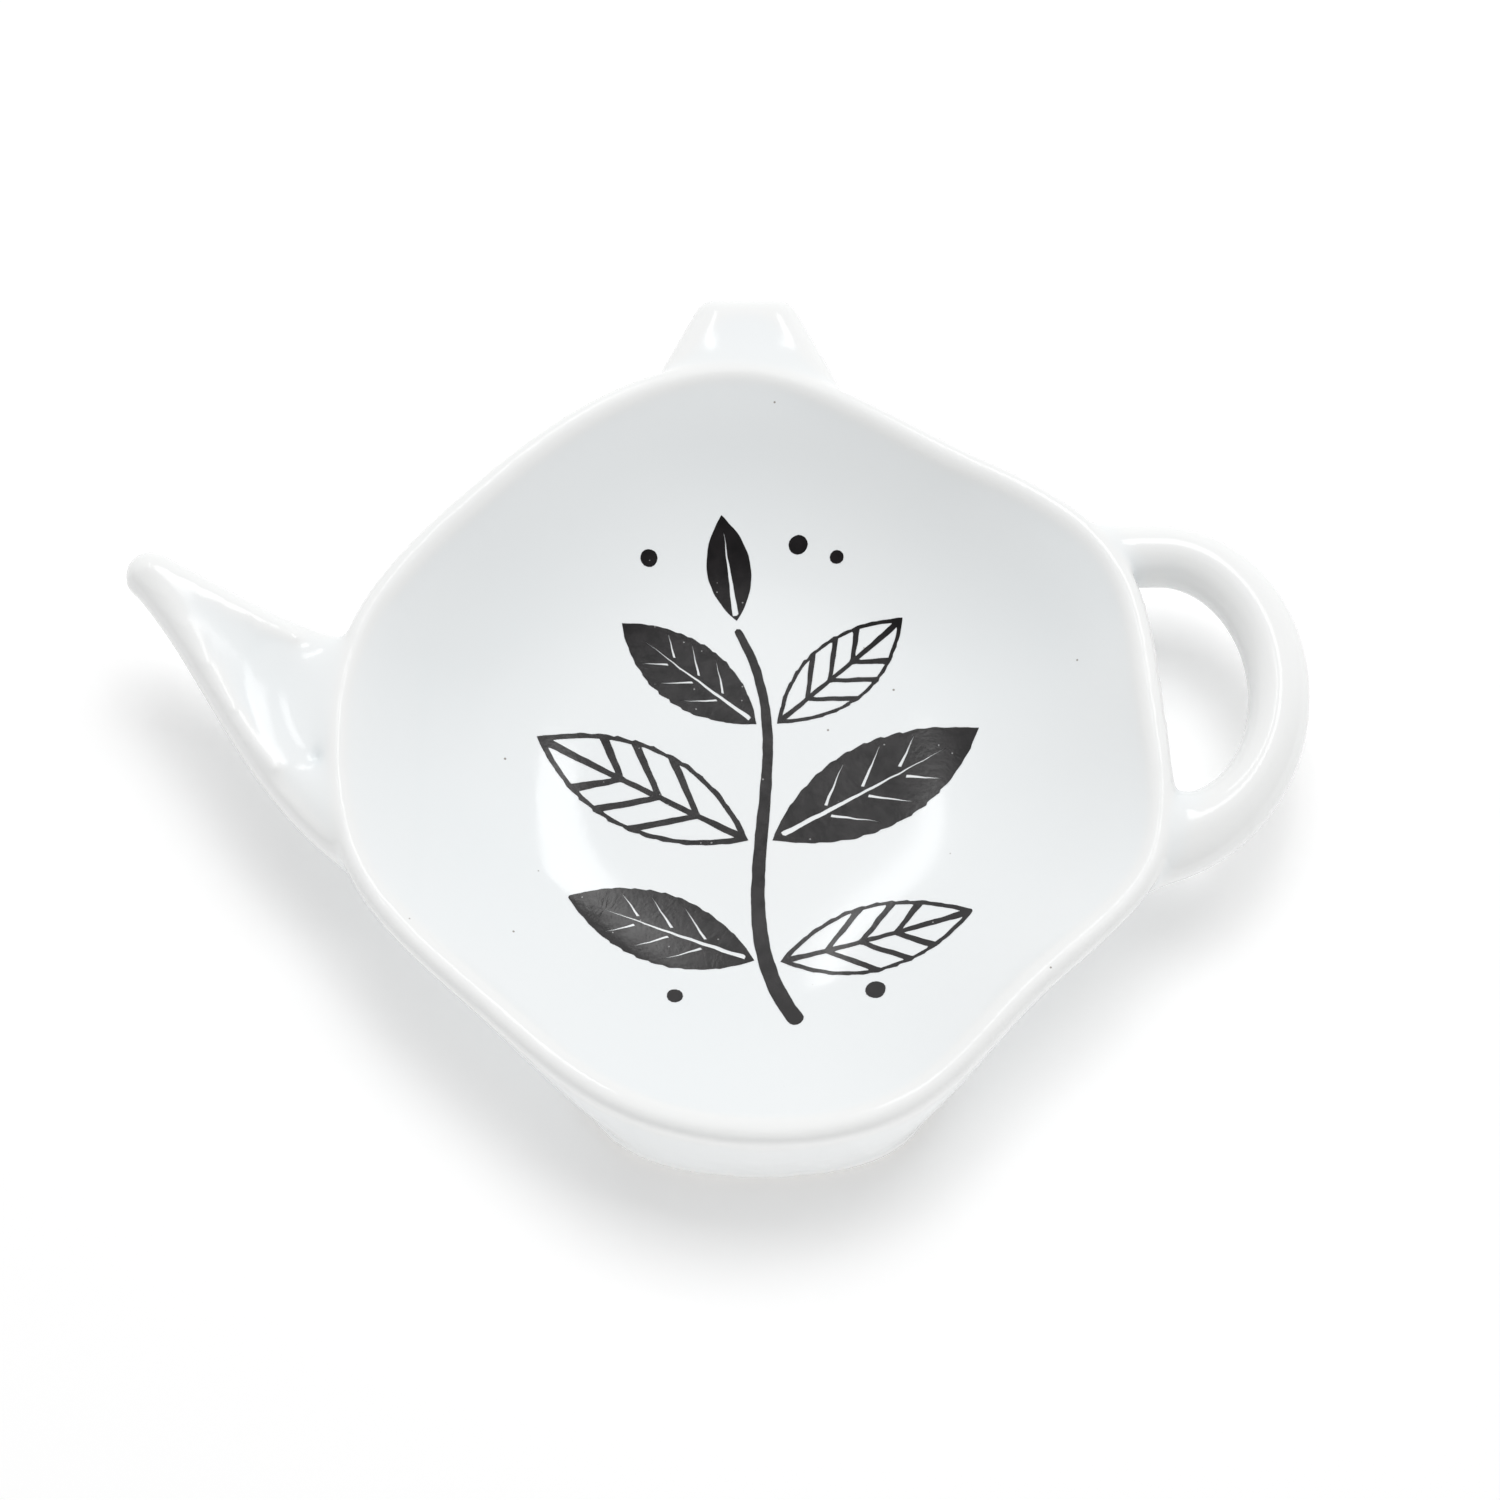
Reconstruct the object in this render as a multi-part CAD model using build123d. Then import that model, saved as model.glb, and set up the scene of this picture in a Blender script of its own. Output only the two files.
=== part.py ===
from build123d import *
import math
import os

# A porcelain tea bag rest in the outline of a teapot, in millimetres.
# The origin is on the table under the middle of the bowl: +X to the handle,
# +Y to the lid knob at the back, +Z up.

# Heights
RIM_HEIGHT = 13.5
FLOOR_THICKNESS = 3.6
FOOT_HEIGHT = 1.2

# Rim crest in plan, anticlockwise from the back right: x, y and the reach of the wall's lower edge
# from the middle. The wall draws in all round, but stands upright over the foot lobe in front.
RIM_STATIONS = [
    (24.0, 31.3, 26.0),
    (9.0, 39.8, 26.0),
    (-1.0, 43.0, 26.0),
    (-12.0, 40.5, 26.0),
    (-29.0, 27.5, 26.0),
    (-40.0, 12.5, 27.0),
    (-42.0, -2.0, 27.5),
    (-39.5, -14.0, 27.5),
    (-26.0, -29.5, 31.5),
    (-14.0, -39.2, 41.2),
    (1.0, -43.1, 42.9),
    (15.5, -39.8, 42.2),
    (28.0, -27.5, 31.5),
    (40.3, -14.0, 27.5),
    (41.0, 4.0, 27.5),
    (36.5, 22.0, 27.0),
]
RIM_OVERHANG = 0.9
RIM_LAND = 2.2
RIM_OUTER_RADIUS = 0.9
RIM_INNER_RADIUS = 2.0

# Outer wall from the foot up: share of the height, of the draw-in and of the overhang
OUTER_WALL_SHARES = [
    (0.00, 1.00, 0.00),
    (0.36, 0.46, 0.55),
    (0.74, 0.06, 0.95),
    (1.00, 0.00, 1.00),
]

# Bowl below its mouth: share of the crest outline and of the bowl depth
BOWL_SHARES = [
    (0.80, 0.55),
    (0.62, 0.89),
    (0.40, 1.00),
]

# Foot ring under the wall's lower edge
FOOT_SETBACK = 1.0
FOOT_WIDTH = 3.5

# Spout: its two edges in plan from root to nose, and its section at root and nose
SPOUT_BACK_EDGE = [(-36.0, 11.0), (-43.7, 12.7), (-49.4, 15.1), (-59.8, 20.2)]
SPOUT_FRONT_EDGE = [(-34.5, -17.0), (-44.6, -9.8), (-53.5, 2.2), (-58.6, 10.6), (-62.6, 16.0)]
SPOUT_RISE = 2.4
SPOUT_DROP = 0.4
SPOUT_ROOT_HOLLOW = 2.4
SPOUT_NOSE_HOLLOW = -0.1
SPOUT_ROOT_EDGE_RADIUS = 2.7
SPOUT_NOSE_EDGE_RADIUS = 2.2
SPOUT_ROOT_BELLY = 2.4
SPOUT_NOSE_BELLY = 0.2
SPOUT_SECTIONS = 5

# Lid knob tab at the back
KNOB_CENTRE_X = -0.4
KNOB_ROOT_WIDTH = 22.6
KNOB_TIP_WIDTH = 9.4
KNOB_ROOT_Y = 39.0
KNOB_TIP_Y = 52.3
KNOB_CORNER_RADIUS = 2.6
KNOB_THICKNESS = 6.0
KNOB_EDGE_RADIUS = 2.6
KNOB_DROP = 0.6

# Handle: a round bar on half an ellipse, wider at both roots
HANDLE_CENTRE_X = 42.0
HANDLE_CENTRE_Y = 6.6
HANDLE_REACH = 11.85
HANDLE_HALF_SPAN = 15.6
HANDLE_RADIUS = 3.2
HANDLE_DROP = 3.5
HANDLE_UPPER_ROOT_X = 29.0
HANDLE_LOWER_ROOT_X = 32.0
HANDLE_UPPER_ROOT_RADIUS = 4.4
HANDLE_LOWER_ROOT_RADIUS = 10.0
HANDLE_LOWER_ROOT_SHIFT = 3.0
HANDLE_BAR_SHARES = (0.24, 0.46, 0.68)

# Print on the floor of the bowl: a tea sprig in black transfer film
FILM_THICKNESS = 0.1
FILM_CLEARANCE = 0.01
STEM_POINTS = [(4.5, -28.0), (0.8, -14.0), (1.8, 2.0), (-1.2, 16.0)]
STEM_WIDTH = 1.3
LINE_WIDTH = 0.6
LEAF_GAP = 0.7
# Leaves in pairs from the lowest up: share along the stem, angles from +X, lengths and widths
LEAF_PAIR_SHARES = (0.15, 0.45, 0.74)
SOLID_LEAF_ANGLES = (160, 30, 141)
SOLID_LEAF_SIZES = ((20.0, 9.0), (24.5, 10.6), (18.0, 8.2))
OPEN_LEAF_ANGLES = (14, 152, 42)
OPEN_LEAF_SIZES = ((20.0, 8.8), (24.5, 10.8), (17.5, 8.0))
BUD_SHARE = 1.0
BUD_ANGLE = 98
BUD_SIZE = (11.5, 5.0)
# Pull points of a leaf's edge as shares of its length and width
LEAF_BASE_SHARES = (0.34, 0.66)
LEAF_TIP_SHARES = (0.72, 0.56)
MIDRIB_SHARE = 0.86
VEIN_SHARES = (0.28, 0.46, 0.64)
VEIN_ANGLE = 40
DOT_RADIUS = 0.9
DOTS = [(5.0, 25.5), (9.0, 24.0), (-10.5, 24.0), (-7.5, -25.5), (12.5, -25.0)]


def rim_ring(z, scale=1.0, draw_in=0.0, outset=0.0):
    """Closed outline at height z, shaped as the rim crest."""
    points = []
    for x, y, foot_reach in RIM_STATIONS:
        reach = math.hypot(x, y)
        ratio = (reach * scale + outset - (reach - foot_reach) * draw_in) / reach
        points.append(Vector(x * ratio, y * ratio, z))
    return Wire([Edge.make_spline(points, periodic=True)])


def make_bowl_space():
    """The hollow of the bowl, from its mouth in the rim to the floor."""
    bowl_depth = RIM_HEIGHT - FOOT_HEIGHT - FLOOR_THICKNESS
    rings = [rim_ring(RIM_HEIGHT, outset=RIM_OVERHANG - RIM_LAND)]
    rings += [rim_ring(RIM_HEIGHT - bowl_depth * depth, scale=scale) for scale, depth in BOWL_SHARES]
    return Solid.make_loft(rings)


def make_blank():
    """The dish before it is hollowed: flared wall and rounded outer edge."""
    wall_height = RIM_HEIGHT - FOOT_HEIGHT
    rings = []
    for height, draw_in, overhang in OUTER_WALL_SHARES:
        z = FOOT_HEIGHT + wall_height * height
        rings.append(rim_ring(z, draw_in=draw_in, outset=RIM_OVERHANG * overhang))
    return fillet(Solid.make_loft(rings).edges().group_by(Axis.Z)[-1], RIM_OUTER_RADIUS)


def make_dish(blank, bowl_space):
    """The blank with the bowl cut out and the mouth's edge rounded."""
    dish = blank - bowl_space
    mouth_edge = dish.edges().group_by(Axis.Z)[-1].sort_by(SortBy.LENGTH)[0]
    return fillet(mouth_edge, RIM_INNER_RADIUS)


def make_foot_ring():
    outer = Face(rim_ring(0, draw_in=1.0, outset=-FOOT_SETBACK))
    inner = Face(rim_ring(0, draw_in=1.0, outset=-FOOT_SETBACK - FOOT_WIDTH))
    return extrude(outer - inner, amount=FOOT_HEIGHT, dir=(0, 0, 1))


def between(root, tip, share):
    return root + (tip - root) * share


def spout_section(back, front, z, edge_radius, hollow, belly):
    """Upright section between two edge points: dished top, rounded edges, full belly."""
    up = Vector(0, 0, 1)
    across = (front - back).normalized()
    a = Vector(back.X, back.Y, z)
    b = Vector(front.X, front.Y, z)
    middle = (a + b) * 0.5
    a_top = a + across * edge_radius
    b_top = b - across * edge_radius
    fall = up * (2 * edge_radius)
    return Wire([
        Edge.make_three_point_arc(a_top, middle - up * hollow, b_top),
        Edge.make_three_point_arc(b_top, b - up * edge_radius, b_top - fall),
        Edge.make_three_point_arc(b_top - fall, middle - fall - up * belly, a_top - fall),
        Edge.make_three_point_arc(a_top - fall, a - up * edge_radius, a_top),
    ])


def make_spout():
    """Thick lug, dished at its root, that narrows and turns up to a round nose."""
    back_edge = Edge.make_spline([Vector(x, y) for x, y in SPOUT_BACK_EDGE])
    front_edge = Edge.make_spline([Vector(x, y) for x, y in SPOUT_FRONT_EDGE])
    sections = []
    for i in range(SPOUT_SECTIONS):
        share = i / (SPOUT_SECTIONS - 1)
        sections.append(spout_section(
            back_edge @ share,
            front_edge @ share,
            RIM_HEIGHT - SPOUT_DROP + SPOUT_RISE * share ** 2,
            between(SPOUT_ROOT_EDGE_RADIUS, SPOUT_NOSE_EDGE_RADIUS, share),
            between(SPOUT_NOSE_HOLLOW, SPOUT_ROOT_HOLLOW, (1 - share) ** 2),
            between(SPOUT_ROOT_BELLY, SPOUT_NOSE_BELLY, share),
        ))
    end = Face(sections[-1])
    halves = Plane(end.center(), z_dir=(back_edge @ 1) - (front_edge @ 1))
    nose = revolve(split(end, bisect_by=halves), axis=Axis(end.center(), (0, 0, 1)), revolution_arc=180)
    return Solid.make_loft(sections) + nose


def make_lid_knob():
    """Soft-edged tab with rounded corners."""
    root = KNOB_ROOT_WIDTH / 2
    tip = KNOB_TIP_WIDTH / 2
    outline = Polyline(
        (KNOB_CENTRE_X - root, KNOB_ROOT_Y),
        (KNOB_CENTRE_X + root, KNOB_ROOT_Y),
        (KNOB_CENTRE_X + tip, KNOB_TIP_Y),
        (KNOB_CENTRE_X - tip, KNOB_TIP_Y),
        close=True,
    )
    plate = make_face(outline)
    plate = fillet(plate.vertices().group_by(Axis.Y)[-1], KNOB_CORNER_RADIUS)
    top = RIM_HEIGHT - KNOB_DROP
    tab = Pos(0, 0, top - KNOB_THICKNESS) * extrude(plate, amount=KNOB_THICKNESS)
    rims = tab.edges().group_by(Axis.Z)
    return fillet(rims[0] + rims[-1], KNOB_EDGE_RADIUS)


def make_handle():
    """Round bar bent into a loop, with ends that widen into the wall of the dish."""
    z = RIM_HEIGHT - HANDLE_DROP
    upper_y = HANDLE_CENTRE_Y + HANDLE_HALF_SPAN
    lower_y = HANDLE_CENTRE_Y - HANDLE_HALF_SPAN
    loop_plane = Plane((HANDLE_CENTRE_X, HANDLE_CENTRE_Y, z))
    loop = Edge.make_ellipse(HANDLE_REACH, HANDLE_HALF_SPAN, loop_plane, start_angle=-90, end_angle=90)
    path = Wire([
        Edge.make_line((HANDLE_UPPER_ROOT_X, upper_y, z), (HANDLE_CENTRE_X, upper_y, z)),
        loop.reversed(),
        Edge.make_line((HANDLE_CENTRE_X, lower_y, z), (HANDLE_LOWER_ROOT_X, lower_y, z)),
    ])
    stations = [(0.0, HANDLE_UPPER_ROOT_RADIUS, 0.0)]
    stations += [(share, HANDLE_RADIUS, 0.0) for share in HANDLE_BAR_SHARES]
    stations += [(1.0, HANDLE_LOWER_ROOT_RADIUS, -HANDLE_LOWER_ROOT_SHIFT)]
    sections = []
    for share, half_width, shift in stations:
        tangent = path % share
        across = Plane(origin=path @ share, x_dir=tangent.cross(Vector(0, 0, 1)), z_dir=tangent)
        sections.append(across * Pos(shift, 0) * Ellipse(half_width, HANDLE_RADIUS))
    return sweep(sections, path, multisection=True)


def leaf_face(length, width):
    """Pointed leaf along +X, widest before the middle."""
    base_pull = (LEAF_BASE_SHARES[0] * length, LEAF_BASE_SHARES[1] * width)
    tip_pull = (LEAF_TIP_SHARES[0] * length, LEAF_TIP_SHARES[1] * width)
    upper = Bezier((0, 0), base_pull, tip_pull, (length, 0))
    return make_face([upper, mirror(upper, Plane.XZ)])


def solid_leaf(length, width):
    """Filled leaf with a bare midrib."""
    midrib = Line((0, 0), (MIDRIB_SHARE * length, 0))
    return leaf_face(length, width) - trace(midrib, LINE_WIDTH)


def open_leaf(length, width):
    """Outlined leaf with a midrib and veins."""
    leaf = leaf_face(length, width)
    base_angle = math.atan2(LEAF_BASE_SHARES[1] * width, LEAF_BASE_SHARES[0] * length)
    tip_angle = math.atan2(LEAF_TIP_SHARES[1] * width, (1 - LEAF_TIP_SHARES[0]) * length)
    base_inset = LINE_WIDTH / math.sin(base_angle)
    tip_inset = LINE_WIDTH / math.sin(tip_angle)
    half_width_share = 3 / 8 * (LEAF_BASE_SHARES[1] + LEAF_TIP_SHARES[1])
    inner_width = width - LINE_WIDTH / half_width_share
    inner = Pos(base_inset, 0) * leaf_face(length - base_inset - tip_inset, inner_width)
    run = width / 2 * math.cos(math.radians(VEIN_ANGLE))
    rise = width / 2 * math.sin(math.radians(VEIN_ANGLE))
    strokes = [Line((0, 0), (MIDRIB_SHARE * length, 0))]
    for share in VEIN_SHARES:
        foot = share * length
        strokes += [Line((foot, 0), (foot + run, side * rise)) for side in (-1, 1)]
    lines = Sketch() + [trace(stroke, LINE_WIDTH) for stroke in strokes]
    return (leaf - inner) + (lines & leaf)


def on_stem(stem, shares, angles, leaves):
    """Stand leaves on the stem, clear of its line."""
    clear = STEM_WIDTH / 2 + LEAF_GAP
    placed = []
    for share, angle, leaf in zip(shares, angles, leaves):
        foot = stem @ share
        placed.append(Pos(foot.X, foot.Y) * Rot(0, 0, angle) * Pos(clear, 0) * leaf)
    return placed


def make_print(bowl_space):
    """Islands of film that lie on the bowl: the motif's outline cut out of a thin skin."""
    stem = Spline(*STEM_POINTS)
    skin = Pos(0, 0, FILM_CLEARANCE) * bowl_space
    skin -= Pos(0, 0, FILM_CLEARANCE + FILM_THICKNESS) * bowl_space
    solid_leaves = [solid_leaf(*size) for size in SOLID_LEAF_SIZES]
    open_leaves = [open_leaf(*size) for size in OPEN_LEAF_SIZES]
    motifs = {
        "decal_stem": [trace(stem, STEM_WIDTH)],
        "decal_solid_leaves": on_stem(stem, LEAF_PAIR_SHARES, SOLID_LEAF_ANGLES, solid_leaves),
        "decal_open_leaves": on_stem(stem, LEAF_PAIR_SHARES, OPEN_LEAF_ANGLES, open_leaves),
        "decal_bud": on_stem(stem, [BUD_SHARE], [BUD_ANGLE], [solid_leaf(*BUD_SIZE)]),
        "decal_dots": [Pos(x, y) * Circle(DOT_RADIUS) for x, y in DOTS],
    }
    films = {}
    for name, faces in motifs.items():
        prisms = [extrude(face, amount=RIM_HEIGHT - RIM_INNER_RADIUS, dir=(0, 0, 1)) for face in faces]
        films[name] = Compound([solid for prism in prisms for solid in (skin & prism).solids()])
    return films


def main():
    bowl_space = make_bowl_space()
    blank = make_blank()
    nodes = {
        "dish": make_dish(blank, bowl_space),
        "foot_ring": make_foot_ring(),
        "spout": make_spout() - blank,
        "lid_knob": make_lid_knob() - blank,
        "handle": make_handle() - blank,
    }
    nodes.update(make_print(bowl_space))
    os.makedirs("parts", exist_ok=True)
    for name, shape in nodes.items():
        export_step(shape, f"parts/{name}.step")


main()
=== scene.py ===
import math

import bmesh
import bpy
import numpy as np
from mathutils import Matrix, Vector
from mathutils.bvhtree import BVHTree


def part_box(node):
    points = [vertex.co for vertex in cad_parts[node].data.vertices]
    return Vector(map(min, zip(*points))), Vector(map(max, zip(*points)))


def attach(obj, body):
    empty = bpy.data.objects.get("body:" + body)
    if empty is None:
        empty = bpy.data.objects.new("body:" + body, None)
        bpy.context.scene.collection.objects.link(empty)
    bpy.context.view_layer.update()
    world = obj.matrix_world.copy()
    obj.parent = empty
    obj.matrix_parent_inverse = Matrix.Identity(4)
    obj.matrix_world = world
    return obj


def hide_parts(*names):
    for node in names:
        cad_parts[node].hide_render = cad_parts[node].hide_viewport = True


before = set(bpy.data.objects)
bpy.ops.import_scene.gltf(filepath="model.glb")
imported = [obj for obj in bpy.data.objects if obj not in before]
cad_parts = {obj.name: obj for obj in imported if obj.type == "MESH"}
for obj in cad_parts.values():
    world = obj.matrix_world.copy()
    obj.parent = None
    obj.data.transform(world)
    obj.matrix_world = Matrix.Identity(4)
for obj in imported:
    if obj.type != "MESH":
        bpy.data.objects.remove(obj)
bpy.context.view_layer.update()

# Lengths are in metres unless a comment says otherwise, angles in degrees
MM = 0.001

# Camera: the photograph's viewing angle, and its scale at the middle of the dish
VIEW_ELEVATION = 64.0
VIEW_DISTANCE = 520 * MM
VIEW_TARGET = Vector((0, 0, 10 * MM))
FRAME_WIDTH = 151.8 * MM
SENSOR_WIDTH = 36.0

# Porcelain body: one glazed skin over the dish and the lugs that were joined to it
LUGS = ("spout", "lid_knob", "handle")
WELD = 0.002 * MM
SKIN_VOXEL = 0.42 * MM
SKIN_ROUNDS = 24
NORMAL_ROUNDS = 6
RELAX_STEP = 0.5

# Roots of the lugs, filled with slip
ROOT_REACH = 6.0 * MM
ROOT_ROUNDS = 360

# Bowl, softened below the rim and clear of the lugs
BOWL_ROUNDS = 600
BOWL_DEPTHS = (0.5 * MM, 3.0 * MM)
BOWL_TO_LUG = (0.5 * MM, 3.0 * MM)
BOWL_FACING = 0.2

# Trough of the spout, softened from behind its nose to the dish
TROUGH_ROUNDS = 120
TROUGH_START = (3.0 * MM, 10.0 * MM)
TROUGH_END = 1.6 * MM
TROUGH_DEPTHS = (0.03 * MM, 0.2 * MM)
TROUGH_FACING = (0.6, 0.9)

# Glaze: where it pools in hollows and runs thin over edges, its colours and its relief
GLAZE_ROUNDS = 40
GLAZE_DEPTH = 0.12 * MM
GLAZE_COLOURS = ((0.866, 0.892, 0.902, 1), (0.882, 0.902, 0.908, 1))
POOL_COLOUR = (0.832, 0.874, 0.89, 1)
THIN_COLOUR = (0.902, 0.905, 0.898, 1)
SPECK_COLOUR = (0.16, 0.12, 0.09, 1)
SPECK_EDGE = 0.55
TINT_SHARE = 0.8
GLAZE_ROUGHNESS = (0.07, 0.12)
GLAZE_RELIEF = 0.06 * MM

# Foot ring: wiped free of glaze, with its edges worn soft
FOOT_FLAT_ANGLE = 1
FOOT_EDGE = 0.35 * MM
FOOT_EDGE_STEPS = 3
FOOT_EDGE_ANGLE = 40
BARE_COLOURS = ((0.79, 0.765, 0.72, 1), (0.83, 0.81, 0.775, 1))
WORN_COLOUR = (0.6, 0.58, 0.55, 1)
WORN_HEIGHT = 0.4 * MM
WORN_SHARE = 0.6
GRAIN_SCALE = 2500.0
STAIN_SCALE = 140.0
BARE_ROUGHNESS = (0.74, 0.9)
GRAIN_RELIEF = 0.03 * MM

# Print: a tea sprig in black transfer ink, on the same lines as the CAD films, in millimetres
STEM_POINTS = [(4.5, -28.0), (0.8, -14.0), (1.8, 2.0), (-1.2, 16.0)]
STEM_WIDTHS = (1.7, 0.8)
STEM_STEPS = 60
STEM_CAP_STEPS = 9
LEAF_CLEAR = 1.35
LEAF_SHARES = (0.15, 0.45, 0.74)
SOLID_LEAVES = [(160, 20.0, 9.0), (30, 24.5, 10.6), (141, 18.0, 8.2)]
OPEN_LEAVES = [(14, 20.0, 8.8), (152, 24.5, 10.8), (42, 17.5, 8.0)]
BUD = (98, 11.5, 5.0)
DOTS = [(5.0, 25.5), (9.0, 24.0), (-10.5, 24.0), (-7.5, -25.5), (12.5, -25.0)]
DOT_RADIUS = 0.9
DOT_SCALES = (1.1, 0.8, 1.0, 0.9, 1.15)
DOT_STEPS = 24
LEAF_LENGTH = 24.5
LEAF_WIDTH = 10.8
LEAF_STEPS = 96
LEAF_TEETH = 13
TOOTH_DEPTH = 0.28
LINE_WIDTH = 0.6
VEIN_SLIT = 0.34
VEIN_ANGLE = 40

# Shares of a leaf's length and width: edge handles, midrib slit, feet and reach of the veins
EDGE_ALONG = (0.34, 0.72)
EDGE_ACROSS = (0.66, 0.56)
RIB_SPAN = (0.05, 0.86)
VEIN_FEET = (0.24, 0.42, 0.60)
VEIN_REACH = 0.82

# Ink film: how it lies on the glaze, and its look
FILM_RISE = 0.04 * MM
FILM_SINK = 0.06 * MM
FILM_MERGE = 0.1 * FILM_RISE
FILM_CUTS = 2
DROP_HEIGHT = 50 * MM
DROP_LENGTH = 100 * MM
SWAY_GAIN = 4.0
INK_COLOURS = ((0.006, 0.0055, 0.006, 1), (0.013, 0.011, 0.012, 1))
PINHOLE_COLOUR = (0.42, 0.42, 0.42, 1)
PINHOLE_SHARE = 0.7
MOTTLE_SCALE = 700.0
INK_ROUGHNESS = (0.12, 0.2)
INK_RELIEF = 0.06 * MM

# Middle span of a noise texture's values
NOISE_SPAN = (0.3, 0.7)

# Light: a white room, a broad panel over the back of the table, and two window panes
# that gleam in the bowl
ROOM_LIGHT = 0.6
ROOM_FRONT = 0.15
ROOM_FADE = (0.15, 0.5)
PANEL = {"place": (0.22, 0.8, 1.5), "size": (1.4, 1.0), "radiance": 2.9, "reflected": False}
LEFT_PANE = {"place": (0.14, 0.54, 0.85), "size": (0.12, 0.3), "radiance": 3.2}
RIGHT_PANE = {"place": (-0.1, 0.58, 0.82), "size": (0.06, 0.36), "radiance": 3.4}

# Table: white to the eye, and brighter in front of the object as a fill from below
FLOOR_HALF = 2.0
FLOOR_COLOUR = (0.94, 0.94, 0.94)
FLOOR_GLOW = 0.1
FLOOR_BOUNCE = 0.2
FRONT_BOUNCE = 0.5
BOUNCE_EDGES = (-50 * MM, 0.0)


# Mesh helpers


def add_object(name, data):
    made = bpy.data.objects.new(name, data)
    bpy.context.scene.collection.objects.link(made)
    return made


def joined_copy(name, node_names):
    """One object that holds welded copies of these CAD nodes."""
    shell = bmesh.new()
    for node in node_names:
        shell.from_mesh(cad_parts[node].data)
    bmesh.ops.remove_doubles(shell, verts=shell.verts, dist=WELD)
    mesh = bpy.data.meshes.new(name)
    shell.to_mesh(mesh)
    shell.free()
    mesh.materials.clear()
    return add_object(name, mesh)


def settle(made):
    """Turn a piece with modifiers into a plain mesh."""
    depsgraph = bpy.context.evaluated_depsgraph_get()
    mesh = bpy.data.meshes.new_from_object(made.evaluated_get(depsgraph))
    made.modifiers.clear()
    old = made.data
    made.data = mesh
    bpy.data.meshes.remove(old)
    mesh.name = made.name


def finish_piece(made, slot, material, *nodes):
    made.data.materials.clear()
    made.data.materials.append(material)
    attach(made, "root")
    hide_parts(*nodes)
    return made


class Skin:
    """Points and quads of a mesh as arrays, for smoothing."""

    def __init__(self, mesh):
        self.mesh = mesh
        self.points = np.empty(len(mesh.vertices) * 3)
        mesh.vertices.foreach_get("co", self.points)
        self.points = self.points.reshape(-1, 3)
        self.quads = np.empty(len(mesh.loops), int)
        mesh.loops.foreach_get("vertex_index", self.quads)
        self.quads = self.quads.reshape(-1, 4)
        edges = np.empty(len(mesh.edges) * 2, int)
        mesh.edges.foreach_get("vertices", edges)
        edges = edges.reshape(-1, 2)
        self.heads = np.concatenate([edges[:, 0], edges[:, 1]])
        self.tails = np.concatenate([edges[:, 1], edges[:, 0]])
        self.counts = np.bincount(self.heads, minlength=len(self.points))[:, None]

    def gather(self, index, values):
        columns = [np.bincount(index, values[:, i], len(self.points)) for i in range(3)]
        return np.stack(columns, axis=1)

    def pull(self, points):
        """From each point to the mean of its neighbours."""
        return self.gather(self.heads, points[self.tails]) / self.counts - points

    def normals(self):
        corners = self.points[self.quads]
        across = np.cross(corners[:, 2] - corners[:, 0], corners[:, 3] - corners[:, 1])
        total = sum(self.gather(self.quads[:, i], across) for i in range(4))
        return total / np.linalg.norm(total, axis=1, keepdims=True)

    def fair(self, rounds, give=0.5, take=-0.53):
        """Smooth out the voxel steps and keep the volume."""
        for step in (give, take) * rounds:
            self.points += step * self.pull(self.points)

    def pull_at(self, weight):
        """The points where weight is set, and a function that gives their pull."""
        near = weight[self.heads] > 0
        tails = self.tails[near]
        spots, places = np.unique(self.heads[near], return_inverse=True)

        def pull():
            sums = [np.bincount(places, self.points[tails, i]) for i in range(3)]
            return np.stack(sums, axis=1) / self.counts[spots] - self.points[spots]

        return spots, pull

    def relax(self, weight, rounds):
        """Even out the skin where weight is set."""
        spots, pull = self.pull_at(weight)
        for _ in range(rounds):
            self.points[spots] += RELAX_STEP * weight[spots, None] * pull()

    def fill(self, weight, rounds):
        """Fill hollow creases where weight is set, as slip and glaze do."""
        spots, pull = self.pull_at(weight)
        for turn in range(rounds):
            if turn % NORMAL_ROUNDS == 0:
                normals = self.normals()[spots]
            rise = np.einsum("ij,ij->i", pull(), normals)
            self.points[spots] += (weight[spots] * np.clip(rise, 0, None))[:, None] * normals

    def hollow(self, rounds):
        """How far a smoothed copy stands over each point: above 0 in hollows, below on edges."""
        smooth = self.points.copy()
        for _ in range(rounds):
            smooth += RELAX_STEP * self.pull(smooth)
        return np.einsum("ij,ij->i", smooth - self.points, self.normals())

    def write(self):
        self.mesh.vertices.foreach_set("co", self.points.ravel())
        self.mesh.update()


def attribute(mesh, name, values):
    layer = mesh.attributes.new(name, "FLOAT", "POINT")
    layer.data.foreach_set("value", values.astype(np.float32))


def smoothstep(low, high, values):
    share = np.clip((values - low) / (high - low), 0, 1)
    return share * share * (3 - 2 * share)


def distances(made, points):
    """From each point to the nearest face of an object."""
    tree = BVHTree.FromObject(made, bpy.context.evaluated_depsgraph_get())
    return np.array([tree.find_nearest(Vector(point))[3] for point in points])


def frame_top(node):
    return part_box(node)[1][2]


# Porcelain body


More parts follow.
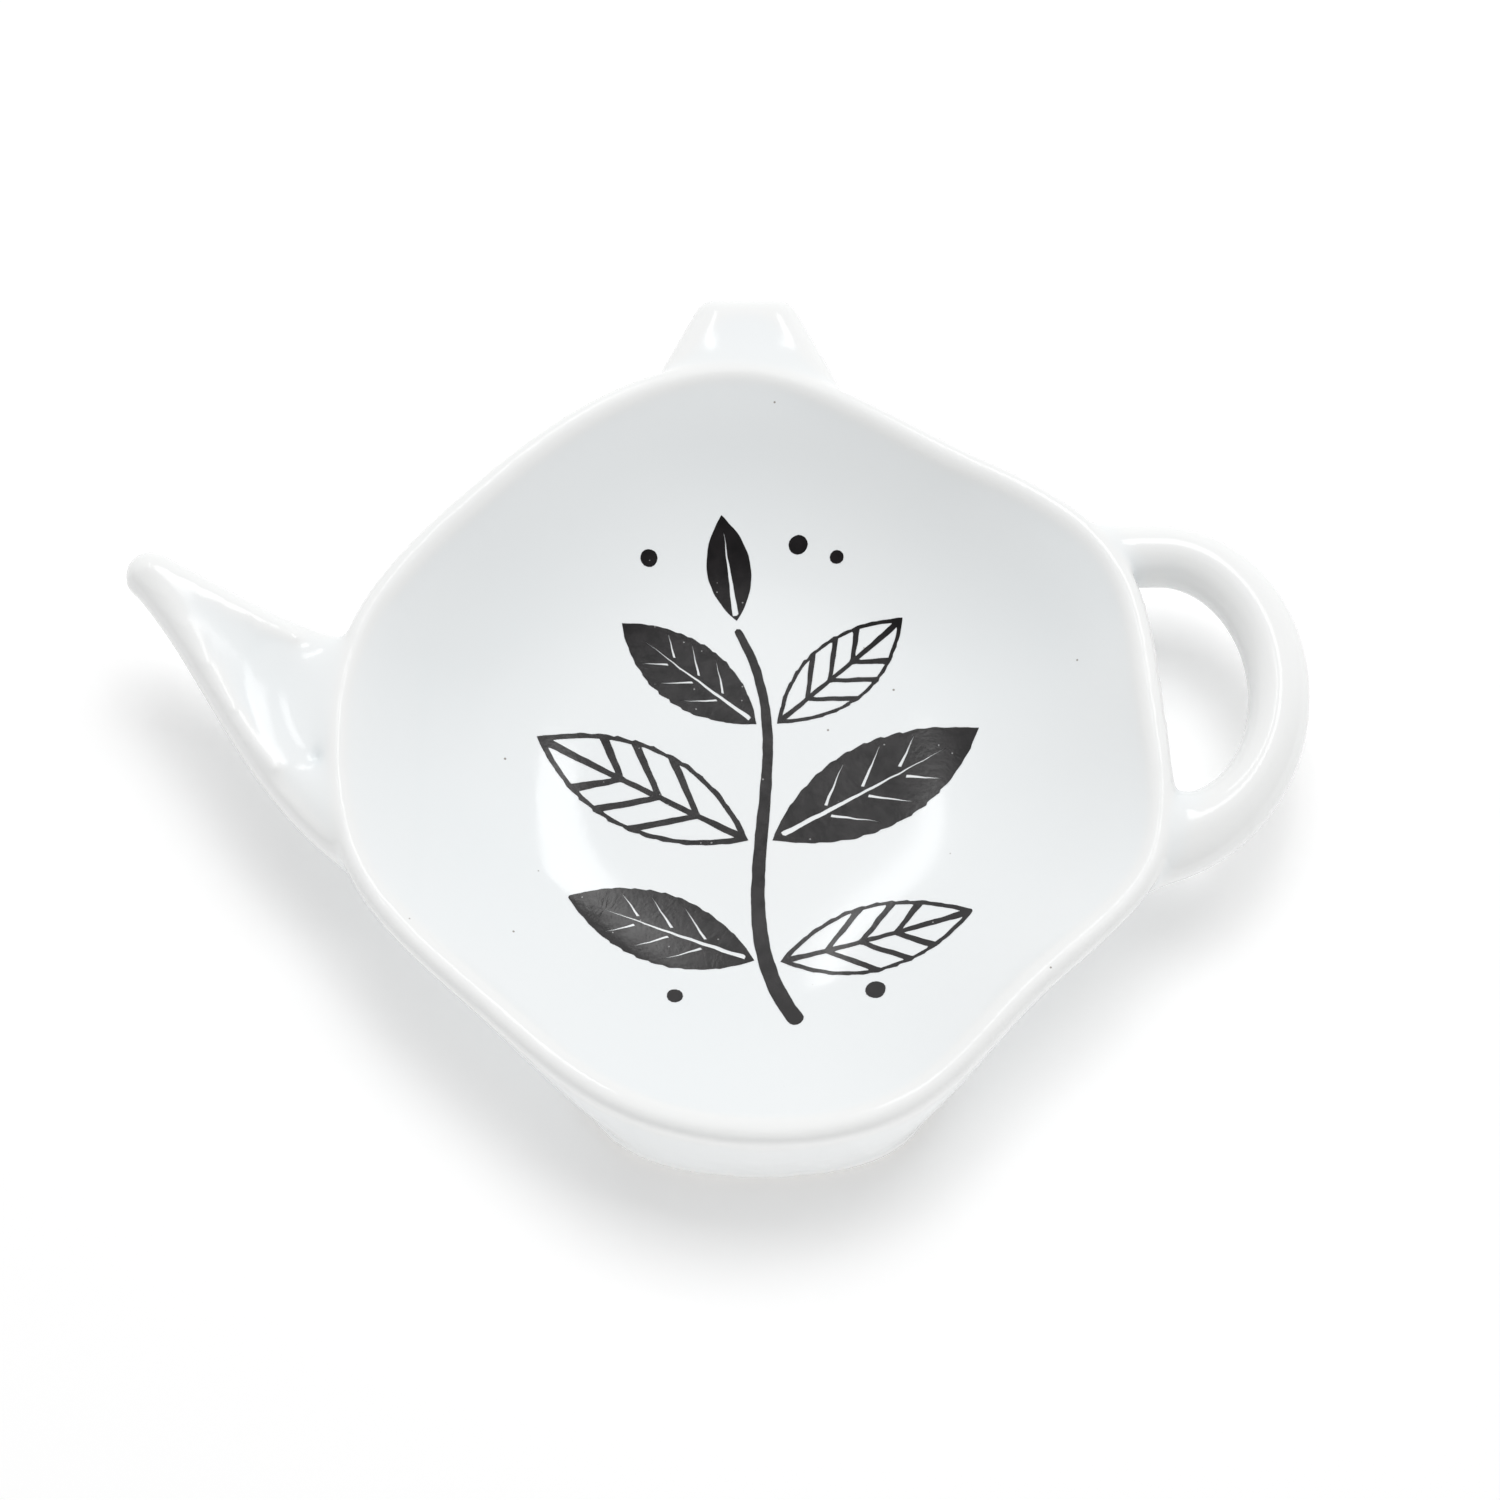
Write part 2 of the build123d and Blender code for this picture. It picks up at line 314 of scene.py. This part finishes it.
def make_body(material):
    """Dish, spout, knob and handle under one skin, with filled roots."""
    body = joined_copy("porcelain_body", ("dish",) + LUGS)
    remesh = body.modifiers.new("skin", "REMESH")
    remesh.mode = "VOXEL"
    remesh.voxel_size = SKIN_VOXEL
    settle(body)
    skin = Skin(body.data)
    skin.fair(SKIN_ROUNDS)

    # Filled roots
    to_dish = distances(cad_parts["dish"], skin.points)
    lugs = joined_copy("lugs", LUGS)
    to_lug = distances(lugs, skin.points)
    bpy.data.objects.remove(lugs)
    root = 1 - smoothstep(0, ROOT_REACH, np.maximum(to_dish, to_lug))
    skin.fill(root, ROOT_ROUNDS)

    # Softened bowl
    below_rim = frame_top("dish") - skin.points[:, 2]
    bowl = smoothstep(*BOWL_DEPTHS, below_rim) * smoothstep(*BOWL_TO_LUG, to_lug)
    facing = skin.normals()[:, 2]
    skin.relax(bowl * (facing > BOWL_FACING), BOWL_ROUNDS)

    # Softened trough
    low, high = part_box("spout")
    across = skin.points[:, 0]
    from_nose = np.where(across < high.x + TROUGH_END, across - low.x, 0)
    trough = smoothstep(*TROUGH_START, from_nose) * smoothstep(*TROUGH_DEPTHS, below_rim)
    trough = trough * smoothstep(*TROUGH_FACING, facing) * (to_lug < ROOT_REACH)
    skin.relax(trough, TROUGH_ROUNDS)
    skin.fair(SKIN_ROUNDS)

    # Kept inside the box that it had before the smoothing, and marked where glaze pools and thins
    corners = np.array([body.bound_box[0], body.bound_box[6]])
    skin.points = np.clip(skin.points, *corners)
    glaze_depth = skin.hollow(GLAZE_ROUNDS) / GLAZE_DEPTH
    skin.write()
    body.data.shade_smooth()
    attribute(body.data, "glaze_pool", np.clip(glaze_depth, 0, 1))
    attribute(body.data, "glaze_thin", np.clip(-glaze_depth, 0, 1))
    return finish_piece(body, "white_glaze", material, "dish", *LUGS)


def make_foot(material):
    """Foot ring with soft edges."""
    foot = joined_copy("bare_foot_ring", ("foot_ring",))
    shell = bmesh.new()
    shell.from_mesh(foot.data)
    flat = math.radians(FOOT_FLAT_ANGLE)
    bmesh.ops.dissolve_limit(shell, angle_limit=flat, verts=shell.verts, edges=shell.edges)
    shell.to_mesh(foot.data)
    shell.free()
    bevel = foot.modifiers.new("soft_edges", "BEVEL")
    bevel.width = FOOT_EDGE
    bevel.segments = FOOT_EDGE_STEPS
    bevel.angle_limit = math.radians(FOOT_EDGE_ANGLE)
    settle(foot)
    foot.data.shade_smooth()
    return finish_piece(foot, "bare_porcelain", material, "foot_ring")


# Node helpers


def add_node(tree, kind, inputs=None, **settings):
    """Add a node; each input is given a value or another node's output."""
    node = tree.nodes.new(kind)
    for key, value in settings.items():
        setattr(node, key, value)
    for key, value in (inputs or {}).items():
        if isinstance(value, bpy.types.NodeSocket):
            tree.links.new(value, node.inputs[key])
        else:
            node.inputs[key].default_value = value
    return node


def math_node(tree, operation, a, b=0.0):
    return add_node(tree, "ShaderNodeMath", {0: a, 1: b}, operation=operation).outputs[0]


def vector_math(tree, operation, a, b):
    return add_node(tree, "ShaderNodeVectorMath", {0: a, 1: b}, operation=operation).outputs[0]


def coordinate(tree, vector, axis):
    return add_node(tree, "ShaderNodeSeparateXYZ", {0: vector}).outputs[axis]


def object_place(tree):
    return tree.nodes.new("ShaderNodeTexCoord").outputs["Object"]


def noise_value(tree, place, scale, detail):
    inputs = {"Vector": place, "Scale": scale, "Detail": detail}
    return add_node(tree, "ShaderNodeTexNoise", inputs).outputs["Fac"]


def map_range(tree, value, span, result):
    """Map a value from one span to another."""
    return add_node(tree, "ShaderNodeMapRange", {
        "Value": value,
        "From Min": span[0],
        "From Max": span[1],
        "To Min": result[0],
        "To Max": result[1],
    }).outputs[0]


def choose(tree, share, a, b):
    """Mix two values."""
    mix = add_node(tree, "ShaderNodeMix", {"Factor": share, "A": a, "B": b})
    return mix.outputs["Result"]


def mix_colours(tree, share, a, b):
    """Mix two colours, by the colour sockets, which have the same names as those for values."""
    mix = add_node(tree, "ShaderNodeMix", {0: share, 6: a, 7: b}, data_type="RGBA")
    return mix.outputs[2]


def tint(tree, mask, strength, colour, other):
    """Lay another colour over a colour where the mask is set."""
    return mix_colours(tree, math_node(tree, "MULTIPLY", mask, strength), colour, other)


def new_group(name, kind, inputs, outputs):
    """Node group with named inputs and outputs; gives the tree and its two end nodes."""
    tree = bpy.data.node_groups.new(name, kind)
    for label, socket, value in inputs:
        made = tree.interface.new_socket(label, in_out="INPUT", socket_type=socket)
        if value is not None:
            made.default_value = value
    for label, socket in outputs:
        tree.interface.new_socket(label, in_out="OUTPUT", socket_type=socket)
    return tree, tree.nodes.new("NodeGroupInput").outputs, tree.nodes.new("NodeGroupOutput")


# Print


def film_tree():
    """Stand outlines on points, fill them with ink and lay the film on the body."""
    tree, given, out = new_group(
        "print_film",
        "GeometryNodeTree",
        [
            ("Geometry", "NodeSocketGeometry", None),
            ("Template", "NodeSocketObject", None),
            ("Body", "NodeSocketObject", None),
            ("Spacing", "NodeSocketFloat", 0.4 * MM),
            ("Wobble", "NodeSocketFloat", 0.07 * MM),
            ("Wobble Size", "NodeSocketFloat", 1.6 * MM),
            ("Seed", "NodeSocketFloat", 0.0),
            ("Rise", "NodeSocketFloat", FILM_RISE),
            ("Sink", "NodeSocketFloat", FILM_SINK),
            ("Material", "NodeSocketMaterial", None),
        ],
        [("Geometry", "NodeSocketGeometry")],
    )

    def stored(name, kind):
        node = add_node(tree, "GeometryNodeInputNamedAttribute", {"Name": name}, data_type=kind)
        return node.outputs[0]

    template = add_node(tree, "GeometryNodeObjectInfo", {"Object": given["Template"]})
    turned = add_node(tree, "ShaderNodeCombineXYZ", {"Z": stored("turn", "FLOAT")})
    outlines = add_node(tree, "GeometryNodeInstanceOnPoints", {
        "Points": given["Geometry"],
        "Instance": template.outputs["Geometry"],
        "Rotation": turned.outputs[0],
        "Scale": stored("size", "FLOAT_VECTOR"),
    })
    lines = add_node(tree, "GeometryNodeRealizeInstances", {"Geometry": outlines.outputs[0]})
    lines = add_node(tree, "GeometryNodeResampleCurve", {
        "Curve": lines.outputs[0],
        "Length": given["Spacing"],
    }, mode="LENGTH")

    # Unsteady edge of the ink
    place = tree.nodes.new("GeometryNodeInputPosition").outputs[0]
    noise = add_node(tree, "ShaderNodeTexNoise", {
        "Vector": place,
        "W": given["Seed"],
        "Scale": math_node(tree, "DIVIDE", 1.0, given["Wobble Size"]),
        "Detail": 1.0,
    }, noise_dimensions="4D")
    sway = vector_math(tree, "SUBTRACT", noise.outputs["Color"], (0.5, 0.5, 0.5))
    sway = vector_math(tree, "MULTIPLY", sway, (SWAY_GAIN, SWAY_GAIN, 0.0))
    sway = add_node(tree, "ShaderNodeVectorMath", {
        0: sway,
        "Scale": given["Wobble"],
    }, operation="SCALE")
    lines = add_node(tree, "GeometryNodeSetPosition", {
        "Geometry": lines.outputs[0],
        "Offset": sway.outputs[0],
    })

    # Closed flat plate
    plate = add_node(tree, "GeometryNodeFillCurve", {"Curve": lines.outputs[0]}, mode="TRIANGLES")
    plate = add_node(tree, "GeometryNodeSubdivideMesh", {
        "Mesh": plate.outputs[0],
        "Level": FILM_CUTS,
    })
    upper = add_node(tree, "GeometryNodeExtrudeMesh", {
        "Mesh": plate.outputs[0],
        "Offset": (0.0, 0.0, 1.0),
        "Offset Scale": given["Rise"],
        "Individual": False,
    }, mode="FACES")
    lower = add_node(tree, "GeometryNodeFlipFaces", {"Mesh": plate.outputs[0]})
    both = add_node(tree, "GeometryNodeJoinGeometry", {"Geometry": upper.outputs[0]})
    tree.links.new(lower.outputs[0], both.inputs[0])
    both = add_node(tree, "GeometryNodeMergeByDistance", {
        "Geometry": both.outputs[0],
        "Distance": FILM_MERGE,
    })

    # Laid on the body
    body = add_node(tree, "GeometryNodeObjectInfo", {"Object": given["Body"]})
    split = add_node(tree, "ShaderNodeSeparateXYZ", {0: place}).outputs
    hit = add_node(tree, "GeometryNodeRaycast", {
        "Target Geometry": body.outputs["Geometry"],
        "Source Position": vector_math(tree, "ADD", place, (0.0, 0.0, DROP_HEIGHT)),
        "Ray Direction": (0.0, 0.0, -1.0),
        "Ray Length": DROP_LENGTH,
    })
    ground = coordinate(tree, hit.outputs["Hit Position"], "Z")
    on_top = math_node(tree, "GREATER_THAN", split["Z"], 0.5 * FILM_RISE)
    thickness = math_node(tree, "ADD", given["Rise"], given["Sink"])
    stand = math_node(tree, "MULTIPLY", on_top, thickness)
    stand = math_node(tree, "SUBTRACT", stand, given["Sink"])
    laid = add_node(tree, "ShaderNodeCombineXYZ", {
        "X": split["X"],
        "Y": split["Y"],
        "Z": math_node(tree, "ADD", ground, stand),
    })
    film = add_node(tree, "GeometryNodeSetPosition", {
        "Geometry": both.outputs[0],
        "Position": laid.outputs[0],
    })
    film = add_node(tree, "GeometryNodeRealizeInstances", {"Geometry": film.outputs[0]})
    film = add_node(tree, "GeometryNodeSetMaterial", {
        "Geometry": film.outputs[0],
        "Material": given["Material"],
    })
    tree.links.new(film.outputs[0], out.inputs[0])
    return tree


def outline_object(name, loops):
    """Closed lines, given in millimetres, as a curve."""
    curve = bpy.data.curves.new(name, "CURVE")
    curve.dimensions = "3D"
    for loop in loops:
        spline = curve.splines.new("POLY")
        spline.points.add(len(loop) - 1)
        for point, (x, y) in zip(spline.points, loop):
            point.co = (x * MM, y * MM, 0, 1)
        spline.use_cyclic_u = True
    return add_object(name, curve)


def mirrored(loop):
    return [(x, -y) for x, y in loop]


def cubic(t, first, second, end):
    """Cubic curve from 0 to end, with two handles."""
    return 3 * first * t * (1 - t) ** 2 + 3 * second * t ** 2 * (1 - t) + end * t ** 3


def leaf_edge(length, width, teeth=0):
    """Upper edge of a pointed leaf along +X, with a saw of fine teeth."""
    t = np.linspace(0, 1, LEAF_STEPS)
    x = length * cubic(t, *EDGE_ALONG, 1)
    y = width * cubic(t, *EDGE_ACROSS, 0)
    if teeth:
        saw = (t * teeth) % 1.0
        y = y - TOOTH_DEPTH * (1 - saw) * np.sin(math.pi * t)
    return x, y


def leaf_outline(length, width, teeth=0):
    x, y = leaf_edge(length, width, teeth)
    upper = list(zip(x, np.maximum(y, 0)))
    return upper + mirrored(upper[1:-1])[::-1]


def wedge(start, end, width):
    """Thin tapering slit from start to end."""
    run = np.subtract(end, start)
    across = np.array([-run[1], run[0]]) / np.hypot(*run) * width / 2
    return [tuple(np.add(start, across)), tuple(end), tuple(np.subtract(start, across))]


def solid_leaf(length, width, teeth, feet):
    """Outline of a filled leaf, and the bare slits of its midrib and veins."""
    loops = [leaf_outline(length, width, teeth)]
    loops.append(wedge((RIB_SPAN[0] * length, 0), (RIB_SPAN[1] * length, 0), LINE_WIDTH))
    slope = math.tan(math.radians(VEIN_ANGLE))
    x, y = leaf_edge(length, width)
    for foot in feet:
        start_y = LINE_WIDTH
        start_x = foot * length + start_y / slope
        line = (x - foot * length) * slope
        end = np.argmax((line > VEIN_REACH * y) & (x > start_x))
        slit = wedge((start_x, start_y), (x[end], VEIN_REACH * y[end]), VEIN_SLIT)
        loops += [slit, mirrored(slit)]
    return loops


def open_leaf(length, width, teeth, feet):
    """Outline of a leaf drawn in lines, and the bare cells between its veins."""
    loops = [leaf_outline(length, width, teeth)]
    x, y = leaf_edge(length, width)
    along = np.stack([np.gradient(x), np.gradient(y)])
    along /= np.hypot(*along)
    x = x + along[1] * LINE_WIDTH
    y = y - along[0] * LINE_WIDTH
    keep = y > LINE_WIDTH / 2
    x, y = x[keep], y[keep]
    lean = 1 / math.tan(math.radians(VEIN_ANGLE))
    half = LINE_WIDTH / 2 / math.sin(math.radians(VEIN_ANGLE))
    root = x - y * lean
    rib = LINE_WIDTH / 2
    cuts = [foot * length for foot in feet]
    for left, right in zip([None] + cuts, cuts + [None]):
        first = 0 if left is None else np.argmax(root > left + half)
        last = len(root) if right is None else np.argmax(root > right - half)
        cell = list(zip(x[first:last], y[first:last]))
        if right is not None:
            cell.append((right - half + rib * lean, rib))
        if left is not None:
            cell.append((left + half + rib * lean, rib))
        loops += [cell, mirrored(cell)]
    return loops


def stem_at(shares):
    """Points on the stem at shares of its length."""
    points = np.array(STEM_POINTS)
    runs = np.hypot(*np.diff(points, axis=0).T)
    knots = np.append(0, np.cumsum(runs)) / runs.sum()
    lines = [np.polyfit(knots, points[:, i], 3) for i in range(2)]
    return np.stack([np.polyval(line, shares) for line in lines], axis=-1)


def stem_outline():
    """Tapering stroke along the stem, with round ends."""
    shares = np.linspace(0, 1, STEM_STEPS)
    middle = stem_at(shares)
    along = np.gradient(middle, axis=0)
    along /= np.linalg.norm(along, axis=1, keepdims=True)
    across = np.stack([-along[:, 1], along[:, 0]], axis=1)
    half = np.linspace(*STEM_WIDTHS, STEM_STEPS)[:, None] / 2
    left, right = middle + across * half, middle - across * half
    turns = np.linspace(0, math.pi, STEM_CAP_STEPS)[1:-1, None]

    def cap(end, way):
        arc = np.cos(turns) * across[end] + way * np.sin(turns) * along[end]
        return middle[end] + half[end] * arc

    return [*cap(0, -1)[::-1], *left, *cap(-1, 1), *right[::-1]]


def leaf_feet(shares, leaves):
    """Place, turn and size of leaves that stand on the stem, clear of its line."""
    spots = []
    for foot, (angle, length, width) in zip(stem_at(np.array(shares)), leaves):
        turn = math.radians(angle)
        x = foot[0] + LEAF_CLEAR * math.cos(turn)
        y = foot[1] + LEAF_CLEAR * math.sin(turn)
        spots.append((x, y, turn, length, width))
    return spots


def leaf_spots(leaves):
    """Feet of leaves, with their sizes as scales of the full leaf."""
    return [
        (x, y, turn, length / LEAF_LENGTH, width / LEAF_WIDTH)
        for x, y, turn, length, width in leaf_feet(LEAF_SHARES, leaves)
    ]


def make_film(node, tree, loops, spots, seed, body, material):
    """One film of the print: outlines in millimetres stood on spots x, y, turn and scales."""
    name = node.replace("decal", "ink")
    mesh = bpy.data.meshes.new(name)
    mesh.from_pydata([(x * MM, y * MM, 0) for x, y, *_ in spots], [], [])
    attribute(mesh, "turn", np.array([spot[2] for spot in spots]))
    layer = mesh.attributes.new("size", "FLOAT_VECTOR", "POINT")
    for value, spot in zip(layer.data, spots):
        value.vector = (spot[3], spot[4], 1)
    film = add_object(name, mesh)
    template = outline_object(name + "_outline", loops)
    modifier = film.modifiers.new("film", "NODES")
    modifier.node_group = tree
    values = {"Template": template, "Body": body, "Seed": seed, "Material": material}
    for item in tree.interface.items_tree:
        if item.in_out == "INPUT" and item.name in values:
            modifier[item.identifier] = values[item.name]
    settle(film)
    bpy.data.objects.remove(template)
    return finish_piece(film, "black_print", material, node)


def make_print(body, material):
    tree = film_tree()
    full = (LEAF_LENGTH, LEAF_WIDTH, LEAF_TEETH, VEIN_FEET)
    bud_spots = [spot[:3] + (1, 1) for spot in leaf_feet([1.0], [BUD])]
    angles = np.linspace(0, 2 * math.pi, DOT_STEPS, endpoint=False)
    circle = list(zip(DOT_RADIUS * np.cos(angles), DOT_RADIUS * np.sin(angles)))
    dot_spots = [(x, y, 0, scale, scale) for (x, y), scale in zip(DOTS, DOT_SCALES)]
    films = [
        ("decal_stem", [stem_outline()], [(0, 0, 0, 1, 1)]),
        ("decal_solid_leaves", solid_leaf(*full), leaf_spots(SOLID_LEAVES)),
        ("decal_open_leaves", open_leaf(*full), leaf_spots(OPEN_LEAVES)),
        ("decal_bud", solid_leaf(*BUD[1:], 0, ()), bud_spots),
        ("decal_dots", [circle], dot_spots),
    ]
    for seed, (node, loops, spots) in enumerate(films):
        make_film(node, tree, loops, spots, float(seed), body, material)


# Materials


def glaze_group():
    """Fired coat: its slow waves and fine peel, its clouds, and the specks in it."""
    tree, given, out = new_group(
        "glaze_coat",
        "ShaderNodeTree",
        [
            ("Wave Size", "NodeSocketFloat", 11 * MM),
            ("Peel Size", "NodeSocketFloat", 0.9 * MM),
            ("Peel Share", "NodeSocketFloat", 0.06),
            ("Speck Spacing", "NodeSocketFloat", 5 * MM),
            ("Speck Size", "NodeSocketFloat", 0.16 * MM),
        ],
        [
            ("Height", "NodeSocketFloat"),
            ("Cloud", "NodeSocketFloat"),
            ("Specks", "NodeSocketFloat"),
        ],
    )
    place = object_place(tree)

    def noise(size, detail):
        return noise_value(tree, place, math_node(tree, "DIVIDE", 1.0, size), detail)

    peel = math_node(tree, "MULTIPLY", noise(given["Peel Size"], 1.0), given["Peel Share"])
    height = math_node(tree, "ADD", noise(given["Wave Size"], 0.0), peel)
    cloud = noise(math_node(tree, "MULTIPLY", given["Wave Size"], 2.0), 2.0)
    scale = math_node(tree, "DIVIDE", 1.0, given["Speck Spacing"])
    cells = add_node(tree, "ShaderNodeTexVoronoi", {"Vector": place, "Scale": scale})
    reach = math_node(tree, "MULTIPLY", cells.outputs["Distance"], given["Speck Spacing"])
    reach = math_node(tree, "DIVIDE", reach, given["Speck Size"])
    specks = map_range(tree, reach, (SPECK_EDGE, 1.0), (1.0, 0.0))
    for socket, value in zip(out.inputs, (height, cloud, specks)):
        tree.links.new(value, socket)
    return tree


def new_material(name):
    material = bpy.data.materials.new(name)
    material.use_nodes = True
    return material, material.node_tree, material.node_tree.nodes["Principled BSDF"].inputs


def vary(tree, noise, result=(0, 1)):
    """Map a noise value to a range."""
    return map_range(tree, noise, NOISE_SPAN, result)


def link_looks(tree, shader, colour, roughness, height, relief):
    bump = add_node(tree, "ShaderNodeBump", {"Height": height, "Distance": relief})
    tree.links.new(colour, shader["Base Color"])
    tree.links.new(roughness, shader["Roughness"])
    tree.links.new(bump.outputs[0], shader["Normal"])


def white_glaze(group):
    """Cool white glaze: bluer where it pools, warmer where it runs thin over an edge."""
    material, tree, shader = new_material("white_glaze")
    coat = add_node(tree, "ShaderNodeGroup", node_tree=group).outputs
    pool = add_node(tree, "ShaderNodeAttribute", attribute_name="glaze_pool").outputs["Fac"]
    thin = add_node(tree, "ShaderNodeAttribute", attribute_name="glaze_thin").outputs["Fac"]
    colour = mix_colours(tree, vary(tree, coat["Cloud"]), *GLAZE_COLOURS)
    colour = tint(tree, pool, TINT_SHARE, colour, POOL_COLOUR)
    colour = tint(tree, thin, TINT_SHARE, colour, THIN_COLOUR)
    colour = tint(tree, coat["Specks"], TINT_SHARE, colour, SPECK_COLOUR)
    roughness = vary(tree, coat["Cloud"], GLAZE_ROUGHNESS)
    link_looks(tree, shader, colour, roughness, coat["Height"], GLAZE_RELIEF)
    return material


def black_print(group):
    """Black transfer ink under a thin flux: mottled, with pinholes."""
    material, tree, shader = new_material("black_print")
    coat = add_node(tree, "ShaderNodeGroup", {
        "Peel Size": 0.5 * MM,
        "Peel Share": 0.12,
        "Speck Spacing": 1.5 * MM,
        "Speck Size": 0.11 * MM,
    }, node_tree=group).outputs
    mottle = noise_value(tree, object_place(tree), MOTTLE_SCALE, 3.0)
    colour = mix_colours(tree, vary(tree, mottle), *INK_COLOURS)
    colour = tint(tree, coat["Specks"], PINHOLE_SHARE, colour, PINHOLE_COLOUR)
    roughness = vary(tree, mottle, INK_ROUGHNESS)
    link_looks(tree, shader, colour, roughness, coat["Height"], INK_RELIEF)
    return material


def bare_porcelain():
    """Unglazed foot: fine sandy grain, greyed where it stands on the table."""
    material, tree, shader = new_material("bare_porcelain")
    place = object_place(tree)
    grain = noise_value(tree, place, GRAIN_SCALE, 2.0)
    stain = noise_value(tree, place, STAIN_SCALE, 3.0)
    low = map_range(tree, coordinate(tree, place, "Z"), (0.0, WORN_HEIGHT), (WORN_SHARE, 0.0))
    colour = mix_colours(tree, vary(tree, grain), *BARE_COLOURS)
    colour = tint(tree, low, vary(tree, stain), colour, WORN_COLOUR)
    roughness = vary(tree, grain, BARE_ROUGHNESS)
    link_looks(tree, shader, colour, roughness, grain, GRAIN_RELIEF)
    return material


# Stage


def add_camera():
    camera = add_object("camera", bpy.data.cameras.new("camera"))
    camera.data.sensor_width = SENSOR_WIDTH
    camera.data.lens = SENSOR_WIDTH * VIEW_DISTANCE / FRAME_WIDTH
    tilt = math.radians(VIEW_ELEVATION)
    away = Vector((0, -math.cos(tilt), math.sin(tilt)))
    camera.location = VIEW_TARGET + VIEW_DISTANCE * away
    camera.rotation_euler = (math.pi / 2 - tilt, 0, 0)
    bpy.context.scene.camera = camera


def add_softbox(name, place, size, radiance, reflected=True):
    """Rectangular lamp that faces the object, given by the brightness of its face."""
    lamp = bpy.data.lights.new(name, "AREA")
    lamp.shape = "RECTANGLE"
    lamp.size, lamp.size_y = size
    lamp.energy = radiance * math.pi * size[0] * size[1]
    made = add_object(name, lamp)
    made.location = place
    made.rotation_euler = Vector(place).to_track_quat("Z", "Y").to_euler()
    made.visible_glossy = reflected


def add_floor():
    mesh = bpy.data.meshes.new("floor")
    corners = [(-1, -1), (1, -1), (1, 1), (-1, 1)]
    points = [(x * FLOOR_HALF, y * FLOOR_HALF, 0) for x, y in corners]
    mesh.from_pydata(points, [], [(0, 1, 2, 3)])
    floor = add_object("floor", mesh)
    material, tree, shader = new_material("floor_white")
    shader["Base Color"].default_value = (*FLOOR_COLOUR, 1)
    shader["Roughness"].default_value = 1.0
    shader["Specular IOR Level"].default_value = 0.0
    shader["Emission Color"].default_value = (1, 1, 1, 1)
    rays = tree.nodes.new("ShaderNodeLightPath").outputs
    seen = math_node(tree, "MAXIMUM", rays["Is Camera Ray"], rays["Is Glossy Ray"])
    glow = math_node(tree, "MULTIPLY", seen, FLOOR_GLOW)
    depth = coordinate(tree, object_place(tree), "Y")
    fill = map_range(tree, depth, BOUNCE_EDGES, (FRONT_BOUNCE, FLOOR_BOUNCE))
    bounce = math_node(tree, "MULTIPLY", rays["Is Diffuse Ray"], fill)
    tree.links.new(math_node(tree, "ADD", glow, bounce), shader["Emission Strength"])
    mesh.materials.append(material)


def add_world():
    """White room, softer as light than to the eye, and dimmer in front in reflections."""
    world = bpy.data.worlds.new("studio")
    world.use_nodes = True
    tree = world.node_tree
    rays = tree.nodes.new("ShaderNodeLightPath").outputs
    way = tree.nodes.new("ShaderNodeTexCoord").outputs["Generated"]
    back = map_range(tree, coordinate(tree, way, "Y"), ROOM_FADE, (ROOM_FRONT, 1.0))
    reflected = math_node(tree, "MAXIMUM", rays["Is Glossy Ray"], rays["Is Transmission Ray"])
    background = tree.nodes["Background"].inputs
    background["Color"].default_value = (1, 1, 1, 1)
    strength = choose(tree, reflected, ROOM_LIGHT, back)
    strength = choose(tree, rays["Is Camera Ray"], strength, 1.0)
    tree.links.new(strength, background["Strength"])
    bpy.context.scene.world = world


bpy.context.scene.view_settings.view_transform = "Standard"
add_camera()
add_floor()
add_world()
for name, lamp in (("panel", PANEL), ("left_pane", LEFT_PANE), ("right_pane", RIGHT_PANE)):
    add_softbox(name, **lamp)

glaze = glaze_group()
porcelain = make_body(white_glaze(glaze))
make_foot(bare_porcelain())
make_print(porcelain, black_print(glaze))
